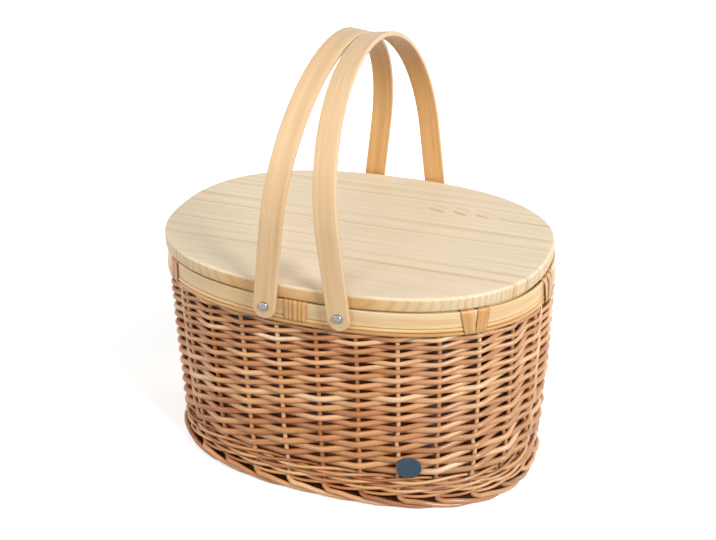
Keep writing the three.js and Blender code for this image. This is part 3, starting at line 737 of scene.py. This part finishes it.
def makeBorder():
    count = form["stakes"]
    fall = np.linspace(1, 0, border["dropSteps"])[:-1]
    t = np.linspace(0, border["reach"], border["n"])
    along = np.concatenate([0 * fall, t])[None] + np.arange(count)[:, None]
    # height of the sweep = low + (top - low) / (1 + (t / half)^4), t in stake spaces from the bend
    sweep = border["low"] + (border["top"] - border["low"]) / (1 + (t / border["half"]) ** 4)
    z = np.concatenate([border["top"] + border["drop"] * fall, sweep])[None]
    phase = border["wobblePhase"] * draw.random((count, 1))
    z = z + border["wobble"] * np.sin(border["wobbleRate"] * along + phase)
    show = np.clip(np.minimum(t / border["bend"], (border["reach"] - t) / border["end"]), 0, 1)
    face = border["face"] - border["under"] * np.clip((t - border["underFrom"]) / border["underSpan"], 0, 1)
    out = border["tuck"] + np.concatenate([0 * fall, (face - border["tuck"]) * show])[None]
    knots, normals = ovalPoint(stakeShare(along), form["footX"], form["footY"], z, out)
    centres = bentLine(askew(knots), 1, border["soften"])
    radius = taperedRadius(border, centres.shape[1])
    mesh = rodMesh("border_rods", centres, normals, roundSection(radius, radius, border["sides"]))
    addPiece(mesh, darkWillow, "basket", "dark_willow", "foot_border")
    # rods laid round behind the sweep, which close the ring from inside; drawn near-black as painted shade in
    # the slots
    back, z = (np.array(column)[:, None] for column in zip(*border["shadeBacking"]))
    share = (np.arange(border["backingSteps"]) / border["backingSteps"])[None]
    out = back + border["backingWave"] * np.sin(2 * np.pi * (share * count + z / border["backingLag"]))
    share, z = np.broadcast_arrays(share, z)
    centres, normals = ovalPoint(share, form["footX"], form["footY"], z, out)
    section = roundSection(border["butt"], border["butt"], border["sides"])
    tones = np.full(len(z), border["backingTone"])
    mesh = rodMesh("border_backing", askew(centres), normals, section, tones, closed=True)
    addPiece(mesh, shadeWillow, "basket", "dark_willow", "foot_border")


# Base: rods across, over and under the three long sticks
base = {
    "halfX": 182.0, "halfY": 118.0, "margin": 8.0, "pitch": 5.3, "level": 11.7, "swing": 5.3, "spacing": 62.0,
    "radius": 2.3, "n": 60, "sides": 8, "sticks": 3, "stickSteps": 40, "stickSides": 16,
}


def makeBase():
    upward = np.array([0.0, 0.0, 1.0])
    count = int(2 * (base["halfX"] - base["margin"]) / base["pitch"])
    x = (np.arange(count) - (count - 1) / 2)[:, None] * base["pitch"]
    y = np.linspace(-1, 1, base["n"])[None] * base["halfY"] * ovalAcross(x / base["halfX"])
    # height = level + swing * cos(pi * (y / spacing of the sticks + number of the rod))
    z = base["level"] + base["swing"] * np.cos(np.pi * (y / base["spacing"] + np.arange(count)[:, None]))
    centres = np.stack(np.broadcast_arrays(x, y, z), -1)
    section = roundSection(base["radius"], base["radius"], base["sides"])
    mesh = rodMesh("base_weave", centres, np.broadcast_to(upward, centres.shape), section)
    addPiece(mesh, darkWillow, "basket", "dark_willow", "base_mat")
    for i in range(1, base["sticks"] + 1):
        low, high = (np.array(corner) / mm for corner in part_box("base_stick_%d" % i))
        centre = (low + high) / 2
        x = np.linspace(low[0], high[0], base["stickSteps"])[None]
        line = np.stack(np.broadcast_arrays(x, centre[1], centre[2]), -1)
        thick = (high[2] - low[2]) / 2
        section = roundSection(thick, thick, base["stickSides"])
        mesh = rodMesh("stick_wood_%d" % i, line, np.broadcast_to(upward, line.shape), section)
        addPiece(mesh, darkWillow, "basket", "dark_willow", "base_stick_%d" % i)


makeWale()
makeBorder()
makeBase()
print("foot and base woven")

# Rim: bent bands outside and inside, a core rod between them, two rods under the outer band
rim = {
    "bandHeight": 16.0, "bandThickness": 3.0, "edge": 0.9, "innerInset": 8.6,
    "rodRadius": 2.0, "rodGap": 0.3, "rodOut": -1.0,
    "coreRadius": 2.4, "coreOut": -5.8, "coreGap": 0.1, "sides": 14,
}


def makeRim():
    profile = boxSection(rim["bandThickness"] / 2, rim["bandHeight"] / 2, rim["edge"])
    level = form["rimTop"] - rim["bandHeight"] / 2
    for side, inset, wave in (("outer", 0.0, rimSwell), ("inner", rim["innerInset"], None)):
        band = profile + np.array([-inset - rim["bandThickness"] / 2, level])
        mesh = ovalRing("chip_band_" + side, form["rimX"], form["rimY"], band, wave=wave)
        addPiece(mesh, chipWood, "basket", "chip_band", "rim_band_" + side)
    circle = roundSection(1.0, 1.0, rim["sides"])
    z = form["shoulder"] + rim["rodGap"] + rim["rodRadius"]
    for number, material in (("1", caneSkin), ("2", paleRod)):
        rod = circle * rim["rodRadius"] + np.array([rim["rodOut"], z])
        mesh = ovalRing("cane_rod_" + number, form["rimX"], form["rimY"], rod, wave=rimSwell)
        addPiece(mesh, material, "basket", "cane", "rim_rod_" + number)
        z = z + 2 * rim["rodRadius"] + rim["rodGap"]
    z = form["rimTop"] - rim["coreRadius"] - rim["coreGap"]
    core = circle * rim["coreRadius"] + np.array([rim["coreOut"], z])
    addPiece(ovalRing("rim_core", form["rimX"], form["rimY"], core), paleRod, "basket", "cane")


# Cane bindings: turns of split cane hooked over rods and bands; each turn is (place, lean, width) in
# millimetres, each place of a binding (share of the half-length, side, kind of binding)
binding = {
    "hook": (
        (-3.0, 203.6), (0.6, 204.2), (1.75, 206.0), (1.8, 211.0), (1.3, 215.0), (1.2, 222.0), (1.0, 227.2),
        (0.0, 229.2), (-2.0, 229.35), (-6.0, 229.35), (-11.0, 229.35), (-12.6, 228.6), (-12.9, 225.0),
        (-12.9, 213.0),
    ),
    "thickness": 1.0, "squareness": 0.6, "narrowest": 0.82, "n": 60, "sides": 14, "soften": 3,
    "footTop": 215.0, "footHeight": 11.4, "leanFrom": 204.0, "leanRise": 24.0,
    "raised": 1.1, "overlap": 0.8, "raisedTop": 228.0, "raisedFade": 6.0, "innerOut": -6.0, "innerFade": 4.0,
    "footLift": {"five": 4.4, "two": 0.0, "wide": 2.0, "fan": 0.0},
    "five": ((-9.0, -0.5, 4.6), (-4.5, -0.2, 4.5), (0.0, 0.0, 4.6), (4.5, 0.2, 4.5), (9.0, 0.5, 4.6)),
    "two": ((-6.6, -1.6, 13.0), (6.6, 1.8, 12.6)),
    "wide": ((-4.2, 0.4, 8.6), (4.2, -0.4, 8.6)),
    "fan": ((-8.5, -1.0, 7.5), (-1.0, 2.5, 8.5), (6.5, 5.5, 8.5)),
    "places": {
        "front": (-0.045, -1, "five"), "back": (0.045, 1, "five"),
        "front_right": (0.78, -1, "two"), "back_left": (-0.78, 1, "two"),
        "right_front": (0.999, -1, "fan"), "left_front": (-0.8, -1, "wide"),
        "right_back": (0.8, 1, "wide"), "left_back": (-0.999, 1, "fan"),
    },
}


def makeBindings():
    hook = np.array(binding["hook"])
    reach = lineReach(hook)
    t = np.linspace(0, reach[-1], binding["n"])
    out = np.interp(t, reach, hook[:, 0])
    z = np.interp(t, reach, hook[:, 1])
    soft = np.array([0.25, 0.5, 0.25])
    for _ in range(binding["soften"]):
        out[1:-1] = np.convolve(out, soft, "valid")
        z[1:-1] = np.convolve(z, soft, "valid")
    outside = t < reach[-1] / 2
    for name, (along, side, kind) in binding["places"].items():
        across = side * ovalAcross(along)
        middle = tableShare[np.argmin(np.hypot(tableX - along, tableY - across))]
        turns = np.array(binding[kind])
        # the foot of a turn is drawn up where it passes above the lower rod
        foot = np.clip((binding["footTop"] - z) / binding["footHeight"], 0, 1) * outside
        high = z + binding["footLift"][kind] * foot
        lean = np.clip((high - binding["leanFrom"]) / binding["leanRise"], 0, 1)
        share = middle + (turns[:, :1] + turns[:, 1:2] * (2 * lean - 1)[None]) / rimGirth
        raised = np.broadcast_to(out, share.shape)
        if kind == "fan":
            # fanned turns lie over each other and stand out from the band
            lift = np.clip((binding["raisedTop"] - high) / binding["raisedFade"], 0, 1) * outside
            over = (np.arange(len(turns)) % 2)[:, None]
            raised = raised + lift * (binding["raised"] + binding["overlap"] * over)
        outer = np.clip((raised - binding["innerOut"]) / binding["innerFade"], 0, 1)
        raised = raised + rimSwell(share) * outer
        level = np.broadcast_to(high, share.shape)
        centres, normal = ovalPoint(share, form["rimX"], form["rimY"], level, raised)
        run = unit(np.gradient(np.stack([out, high], -1), axis=0))
        facing = normal * run[None, :, 1:] + np.array([0, 0, 1.0]) * -run[None, :, :1]
        half = turns[:, 2:] / 2 * (binding["narrowest"] + (1 - binding["narrowest"]) * lean)[None]
        section = roundSection(binding["thickness"] / 2, half, binding["sides"], binding["squareness"])
        mesh = rodMesh("cane_binding_" + name, centres, facing, section)
        # the wide bindings are drawn in a darker, browner cane
        addPiece(mesh, brownCane if kind == "wide" else caneSkin, "basket", "cane", "binding_" + name)


makeRim()
makeBindings()
print("rim bound")

# Cooling liner: padded wall and floor with sewn channels, and a tape over the top edge
liner = {
    "gap": 14.1, "thickness": 5.0, "floor": 21.3, "floorGap": 0.3, "top": 199.0, "fill": 0.5,
    "channels": 28, "channelSteps": 16, "rows": 40, "puff": 1.2, "outerPuff": -0.4, "crown": 0.6, "edge": 6.0,
    "quiltPitch": 60, "quiltDepth": -1.2, "quiltFrom": 3.6, "floorSteps": 320,
    "lower": ((60, 0), (30, 0), (10, 0), (3, 0), (0.8, 0.5), (0, 1.6)),
    "upper": ((0, -1.6), (0.8, -0.6), (3, 0), (8, 0), (16, 0), (24, 0), (34, 0), (46, 0), (60, 0), (76, 0),
              (92, 0)),
    "tape": 0.8, "tapeCrown": 1.2, "tapeDrop": 9.0, "tapeSteps": 14,
}


def makeLinerWall():
    bottom = liner["floor"] + liner["thickness"] + liner["floorGap"]
    rows = np.linspace(bottom, liner["top"], liner["rows"])
    outerFace = np.stack([0 * rows - liner["gap"], rows], -1)
    innerFace = np.stack([0 * rows - liner["gap"] - liner["thickness"], rows[::-1]], -1)
    profile = np.concatenate([outerFace, innerFace])
    z = profile[:, 1]
    isOuter = np.arange(len(z)) < liner["rows"]
    steps = liner["channels"] * liner["channelSteps"]

    # drawn in at the seams by 1 - |sin|^crown, and at the edges
    def pinch(share):
        seam = 1 - np.abs(np.sin(np.pi * share * liner["channels"])) ** liner["crown"]
        edge = np.clip(np.minimum(z - bottom, liner["top"] - z) / liner["edge"], 0, 1)
        return np.where(isOuter, liner["outerPuff"], 1.0) * liner["puff"] * (seam * edge + (1 - edge))

    values = {"outer": np.tile(isOuter.astype(float), steps)}
    mesh = ovalRing("padded_liner_wall", *wallHalf(z), profile, steps, pinch, values)
    wall = addPiece(mesh, linerCloth, "basket", "liner", "liner_wall")


def makeLinerFloor():
    halfX, halfY = (half - liner["gap"] for half in wallHalf(liner["floor"]))
    bottom = liner["floor"]
    rows = padRows(halfX, halfY, bottom, bottom + liner["thickness"], liner["lower"], liner["upper"])

    def sewn(points):
        seams = quilt(points, liner["quiltPitch"], liner["quiltDepth"])
        return np.where(points[..., 2] > bottom + liner["quiltFrom"], seams, 0)

    mesh = ovalBody("padded_liner_floor", rows, liner["floorSteps"], sewn)
    floor = addPiece(mesh, linerCloth, "basket", "liner", "liner_floor")


def makeLinerTape():
    tape, crown = liner["tape"], liner["tapeCrown"]
    outside = tape - liner["gap"]
    inside = -liner["gap"] - liner["thickness"] - tape
    middle, half = (outside + inside) / 2, (outside - inside) / 2
    top, low = liner["top"] + tape, liner["top"] - liner["tapeDrop"]
    # a flat arch over the edge, crown * sin high, and the same arch back on the tape's inner side
    arch = np.linspace(0, np.pi, liner["tapeSteps"])
    back = arch[::-1]
    crest = np.stack([middle + half * np.cos(arch), top - crown + crown * np.sin(arch)], -1)
    hollow = np.stack([middle + (half - tape) * np.cos(back), top - crown - tape + crown * np.sin(back)], -1)
    feet = [(inside, low), (inside + tape, low)]
    profile = np.concatenate([[(outside, low)], crest, feet, hollow, [(outside - tape, low)]])
    mesh = ovalRing("liner_tape", *wallHalf(liner["top"]), profile)
    addPiece(mesh, tapeCloth, "basket", "tape", "liner_edge_tape")


makeLinerWall()
makeLinerFloor()
makeLinerTape()
print("liner sewn")

# Lid: one pine board with rounded edges
lid = {
    "halfX": 200.0, "halfY": 146.0, "bottom": 230.9, "top": 244.7, "lowRound": 1.8, "topRound": 2.6,
    "flats": (100.0, 40.0, 12.0), "hold": 1.5, "roundSteps": 7, "steps": 360,
}


def makeLid():
    turn = np.linspace(0, np.pi / 2, lid["roundSteps"])
    low, top, flats = lid["lowRound"], lid["topRound"], lid["flats"]
    lowEdge = np.stack([low * (1 - np.sin(turn)), low * (1 - np.cos(turn))], -1)
    topEdge = np.stack([top * (1 - np.cos(turn)), top * (np.sin(turn) - 1)], -1)
    lower = np.concatenate([[(inset, 0) for inset in (*flats, low + lid["hold"])], lowEdge])
    upper = np.concatenate([topEdge, [(inset, 0) for inset in (top + lid["hold"], *flats[::-1])]])
    rows = padRows(lid["halfX"], lid["halfY"], lid["bottom"], lid["top"], lower, upper)
    addPiece(ovalBody("pine_lid", rows, lid["steps"]), pine, "lid", "pine", "lid_board")


# Insulating pad under the lid
pad = {
    "lower": ((100, 0), (76, 0), (60, 0), (46, 0), (34, 0), (24, 0), (16, 0), (10, 0.3), (5, 1.1), (2.5, 2.2),
              (0.8, 3.8), (0, 6.0)),
    "upper": ((0.4, -0.8), (2, 0), (10, 0), (40, 0), (90, 0)),
    "quiltPitch": 70, "quiltDepth": 2.2, "quiltTo": 0.5, "steps": 320, "fill": 0.6,
}


def makePad():
    low, high = (np.array(corner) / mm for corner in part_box("lid_pad"))
    rows = padRows(high[0], high[1], low[2], high[2], pad["lower"], pad["upper"])

    def sewn(points):
        seams = quilt(points, pad["quiltPitch"], pad["quiltDepth"])
        return np.where(points[..., 2] < low[2] + pad["quiltTo"], seams, 0)

    mesh = ovalBody("lid_cushion", rows, pad["steps"], sewn)
    cushion = addPiece(mesh, linerCloth, "lid", "liner", "lid_pad")


makeLid()
makePad()
print("lid made")

# Handles: bent strips, straight legs and an elliptical arch, with round feet; heights are above the pivot
handle = {
    "pivotX": 37.4, "pivotZ": 223.5, "legY": 151.5, "legTop": 80.0, "arch": 141.0, "drop": 13.0, "lean": 6.62,
    "width": 22.5, "thickness": 5.0, "edge": 1.1, "footTip": 0.02, "sharp": 40,
    "n": 220, "footSteps": 16, "archSteps": 2000,
}


def makeHandles():
    turn = np.linspace(0, np.pi, handle["archSteps"])
    arch = np.stack([-handle["legY"] * np.cos(turn), handle["legTop"] + handle["arch"] * np.sin(turn)], -1)
    line = np.concatenate([[(-handle["legY"], -handle["drop"])], arch, [(handle["legY"], -handle["drop"])]])
    reach = lineReach(line)
    half = handle["width"] / 2
    # even steps along the strip, and closer ones round the two feet
    foot = half * (1 - np.cos(np.linspace(0, np.pi / 2, handle["footSteps"])))[1:]
    even = np.linspace(half, reach[-1] - half, handle["n"])[1:-1]
    t = np.concatenate([foot, even, reach[-1] - foot[::-1]])
    y = np.interp(t, reach, line[:, 0])
    z = np.interp(t, reach, line[:, 1])
    # half-width at a foot = sqrt(half^2 - way from its centre^2)
    nearest = np.minimum(t, reach[-1] - t)
    wide = half * np.sqrt(np.clip(1 - np.clip(1 - nearest / half, 0, 1) ** 2, 0, 1))
    shape = boxSection(half, handle["thickness"] / 2, handle["edge"])
    size = np.abs(shape[None, :, 0])
    narrow = np.sign(shape[:, 0]) * np.maximum(size - (half - wide)[:, None], handle["footTip"] * size)
    section = np.stack(np.broadcast_arrays(narrow, shape[None, :, 1]), -1)[None]
    for name, side in (("left", -1), ("right", 1)):
        lean = -side * math.radians(handle["lean"])
        c, s = math.cos(lean), math.sin(lean)
        centres = np.stack([side * handle["pivotX"] + z * s, y, handle["pivotZ"] + z * c], -1)[None]
        across = np.broadcast_to(np.array([c, 0.0, -s]), centres.shape)
        mesh = rodMesh("bent_handle_" + name, centres, across, section)
        mesh.set_sharp_from_angle(angle=math.radians(handle["sharp"]))
        addPiece(mesh, bentWood, name + "_handle", "bentwood", "handle_" + name)


makeHandles()
print("handles bent")

# Bolts, spacers, washers and nuts at the four feet of the handles; a ring is (node, piece, radius, chamfer)
bolt = {
    "shank": 2.9, "head": 4.7, "headHeight": 2.8, "headPower": 0.8, "headEdge": 0.2, "tipChamfer": 0.5,
    "middle": 0.1, "bore": 3.2, "domeSteps": 9, "steps": 48, "sharp": 35, "ringSharp": 28,
    "rings": (
        ("spacer", "wood_spacer", 7.0, 0.3),
        ("washer", "flat_washer", 6.0, 0.3),
        ("nut", "hex_nut", 4.8, 0.5),
    ),
}


# outline of a hexagon whose flats are at a distance of 1 from its middle
def hexagon(t):
    return 1 / np.cos(np.mod(t, np.pi / 3) - np.pi / 6)


def makeBolt(place, front):
    low, high = (np.array(corner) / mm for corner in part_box("pivot_bolt_" + place))
    centre = (low + high) / 2 * np.array([1, 0, 1])
    axes = np.eye(3)[[0, 2, 1]]
    tip, crown = (low[1], high[1]) if front > 0 else (high[1], low[1])
    under = crown - front * bolt["headHeight"]
    # dome = (head * cos^0.8, height * sin)
    turn = np.linspace(0, np.pi / 2, bolt["domeSteps"])[:-1]
    radius = bolt["head"] * np.cos(turn) ** bolt["headPower"]
    dome = np.stack([radius, under + front * bolt["headHeight"] * np.sin(turn)], -1)
    shank, chamfer = bolt["shank"], bolt["tipChamfer"]
    stem = [(bolt["middle"], tip), (shank - chamfer, tip), (shank, tip + front * chamfer), (shank, under)]
    rows = np.concatenate([stem, [(bolt["head"] - bolt["headEdge"], under)], dome, [(bolt["middle"], crown)]])
    mesh = turnedMesh("domed_bolt_" + place, centre, axes, rows, bolt["steps"], bolt["sharp"])
    addPiece(mesh, zinc, "basket", "steel", "pivot_bolt_" + place)
    for node, name, outer, edge in bolt["rings"]:
        a, b = (corner[1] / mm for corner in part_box(node + "_" + place))
        faceA = [(bolt["bore"], a), (outer - edge, a), (outer, a + edge)]
        faceB = [(outer, b - edge), (outer - edge, b), (bolt["bore"], b)]
        rows = np.array(faceA + faceB + faceA[:1])
        sides = hexagon if node == "nut" else None
        mesh = turnedMesh(name + "_" + place, centre, axes, rows, bolt["steps"], bolt["ringSharp"], sides)
        material, slot = (bentWood, "bentwood") if node == "spacer" else (zinc, "steel")
        addPiece(mesh, material, "basket", slot, node + "_" + place)


# Bare round tag low on the front
tag = {
    "radius": 12.5, "thickness": 2.0, "edge": 0.7, "backEdge": 0.3, "rimWidth": 2.5,
    "stud": 3.0, "depth": 2.8, "across": 98.0, "height": 51.8, "gap": 0.3, "middle": 0.1,
    "roundSteps": 6, "steps": 64, "sharp": 35,
}


def makeTag():
    halfX, halfY = wallHalf(tag["height"])
    y = -halfY * ovalAcross(tag["across"] / halfX)
    slope = form["power"] - 1
    normalX = (tag["across"] / halfX) ** slope / halfX
    normalY = -(abs(y) / halfY) ** slope / halfY
    normal = unit(np.array([normalX, normalY, 0.0]))
    lean = math.atan2(form["rimY"] - form["wallFootY"], form["shoulder"] - form["wallFootZ"])
    facing = normal * math.cos(lean) + np.array([0, 0, -math.sin(lean)])
    across = unit(np.cross(np.array([0, 0, 1.0]), facing))
    r, e, h = tag["radius"], tag["edge"], tag["thickness"]
    turn = np.linspace(0, np.pi / 2, tag["roundSteps"])
    stud = [(tag["middle"], -tag["depth"]), (tag["stud"], -tag["depth"]), (tag["stud"], 0.0)]
    back = [(r - tag["backEdge"], 0.0), (r, tag["backEdge"])]
    edge = np.stack([r - e + e * np.cos(turn), h - e + e * np.sin(turn)], -1)
    rows = np.concatenate([stud, back, edge, [(r - tag["rimWidth"], h), (tag["middle"], h)]])
    centre = np.array([tag["across"], y, tag["height"]]) + normal * tag["gap"]
    axes = (across, np.cross(facing, across), facing)
    mesh = turnedMesh("bare_tag", centre, axes, rows, tag["steps"], tag["sharp"])
    addPiece(mesh, slate, "basket", "slate", "front_tag")


for end, front in (("back", 1), ("front", -1)):
    for hand in ("left", "right"):
        makeBolt(end + "_" + hand, front)
makeTag()
print("bolts and tag set")

# Stage: pale floor, white surroundings and soft lamps; a lamp is (name, place, width, watts), in metres
stage = {
    "floor": 6.0, "floorColour": "#f6f5f3", "floorBounce": "#6a6866", "glow": 0.45, "ambient": 0.1,
    "whiteFrom": 0.3, "whiteTo": 0.9, "aim": (0.0, 0.0, 0.18),
    "lamps": (
        ("key lamp", (3.2, -1.8, 2.2), 1.5, 165),
        ("front lamp", (0.0, -2.3, 2.15), 1.4, 24),
        ("top lamp", (-1.0, -0.3, 2.5), 1.4, 8),
        ("back lamp", (1.8, 2.3, 1.0), 1.6, 22),
        ("fill lamp", (-2.4, -1.4, 1.3), 1.6, 33),
    ),
}


# 1 for what is seen, straight, by reflection or through glass, and 0 for light on its way to the object
def seenMask(tree):
    rays = addNode(tree, "LightPath").outputs
    seen = addNode(tree, "Math", {0: rays["Is Camera Ray"], 1: rays["Is Glossy Ray"]}, operation="MAXIMUM")
    return addNode(tree, "Math", {0: seen, 1: rays["Is Transmission Ray"]}, operation="MAXIMUM")


def makeFloor():
    size = stage["floor"]
    floorMesh = bpy.data.meshes.new("floor")
    corners = [(-size, -size, 0), (size, -size, 0), (size, size, 0), (-size, size, 0)]
    floorMesh.from_pydata(corners, [], [(0, 1, 2, 3)])
    floor = bpy.data.objects.new("floor", floorMesh)
    bpy.context.scene.collection.objects.link(floor)
    material, tree, shader = newMaterial("pale studio floor")
    seen = seenMask(tree)
    # the floor is seen white, and throws back as much light as a grey sweep
    colour = addNode(tree, "Mix", {
        0: seen, 6: linear(stage["floorBounce"]), 7: linear(stage["floorColour"]),
    }, data_type="RGBA")
    # away from the object the floor runs out into the white of the studio
    place = addNode(tree, "TexCoord").outputs["Object"]
    away = addNode(tree, "VectorMath", {0: place}, operation="LENGTH")
    white = addNode(tree, "MapRange", {
        "Value": away, "From Min": stage["whiteFrom"], "From Max": stage["whiteTo"],
        "To Min": stage["glow"], "To Max": 1.0,
    }, interpolation_type="SMOOTHSTEP")
    glow = addNode(tree, "Math", {0: seen, 1: white}, operation="MULTIPLY")
    setInputs(tree, shader, {
        "Base Color": colour, "Roughness": 0.9, "Specular IOR Level": 0.1,
        "Emission Color": (1, 1, 1, 1), "Emission Strength": glow,
    })
    floorMesh.materials.append(material)


def makeLight():
    world = bpy.data.worlds.new("white studio")
    bpy.context.scene.world = world
    world.use_nodes = True
    tree = world.node_tree
    seen = seenMask(tree)
    strength = addNode(tree, "MapRange", {"Value": seen, "To Min": stage["ambient"], "To Max": 1.0})
    setInputs(tree, tree.nodes["Background"], {"Color": (1, 1, 1, 1), "Strength": strength})
    for name, place, width, power in stage["lamps"]:
        lamp = bpy.data.lights.new(name, "AREA")
        lamp.size = width
        lamp.energy = power
        lampObject = bpy.data.objects.new(name, lamp)
        lampObject.location = place
        towards = Vector(stage["aim"]) - Vector(place)
        lampObject.rotation_euler = towards.to_track_quat("-Z", "Y").to_euler()
        bpy.context.scene.collection.objects.link(lampObject)


# Camera at the photograph's angle, for an image of 716 x 540; angles in degrees, lengths in millimetres,
# the focal length in pixels of the image
view = {
    "azimuth": 20.641, "elevation": 26.236, "roll": -0.477, "distance": 1382.667, "across": -0.051,
    "lift": 59.26, "aim": 130.0, "focal": 1300.0, "imageWidth": 716.0, "sensor": 36,
}


def makeCamera():
    a, e, r = (math.radians(view[key]) for key in ("azimuth", "elevation", "roll"))
    back = Vector((math.sin(a) * math.cos(e), -math.cos(a) * math.cos(e), math.sin(e)))
    level = Vector((math.cos(a), math.sin(a), 0))
    upright = back.cross(level)
    right = level * math.cos(r) + upright * math.sin(r)
    up = upright * math.cos(r) - level * math.sin(r)
    aim = Vector((0, 0, view["aim"])) + level * view["across"] + upright * view["lift"]
    place = (aim + back * view["distance"]) * mm
    camera = bpy.data.objects.new("camera", bpy.data.cameras.new("camera"))
    bpy.context.scene.collection.objects.link(camera)
    camera.data.sensor_width = view["sensor"]
    camera.data.lens = view["focal"] / view["imageWidth"] * view["sensor"]
    camera.matrix_world = Matrix.Translation(place) @ Matrix((right, up, back)).transposed().to_4x4()
    bpy.context.scene.camera = camera


makeFloor()
makeLight()
makeCamera()
bpy.context.scene.view_settings.view_transform = "Standard"
print("stage lit")
